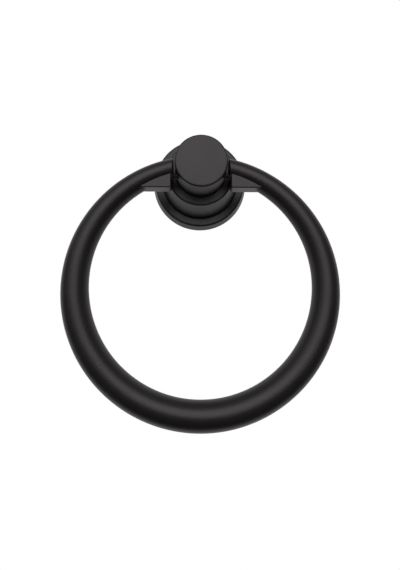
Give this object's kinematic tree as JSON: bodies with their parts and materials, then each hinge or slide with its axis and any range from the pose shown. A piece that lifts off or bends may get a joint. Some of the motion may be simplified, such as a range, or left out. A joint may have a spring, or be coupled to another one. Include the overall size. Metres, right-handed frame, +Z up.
{
  "type": "ring pull handle",
  "caption": "Ring pull handle: a stepped round post screws to a drawer or door front, and a tapered ring swings on a pin through the post's head.",
  "frame": {"origin": "centre of the post's flat back face, at the mouth of the tapped screw hole", "axes": "+Y along the screw hole into the drawer or door front, -Y out of the front towards the person, +Z up, +X to the right as seen from the front"},
  "size_m": [0.076, 0.0225, 0.0874],
  "materials": {
    "black_coat": "satin black powder coat over solid metal",
    "pin_steel": "drawn steel pin, blackened"
  },
  "bodies": {
    "post": {"post": "black_coat", "pivot_pin": "pin_steel"},
    "ring": {"ring": "black_coat"}
  },
  "joints": [
    {"name": "ring_swing", "type": "hinge", "parent": "post", "child": "ring", "pos_m": [0, -0.01807, -0.003], "axis": [-1, 0, 0], "range_deg": [-12, 192]}
  ]
}
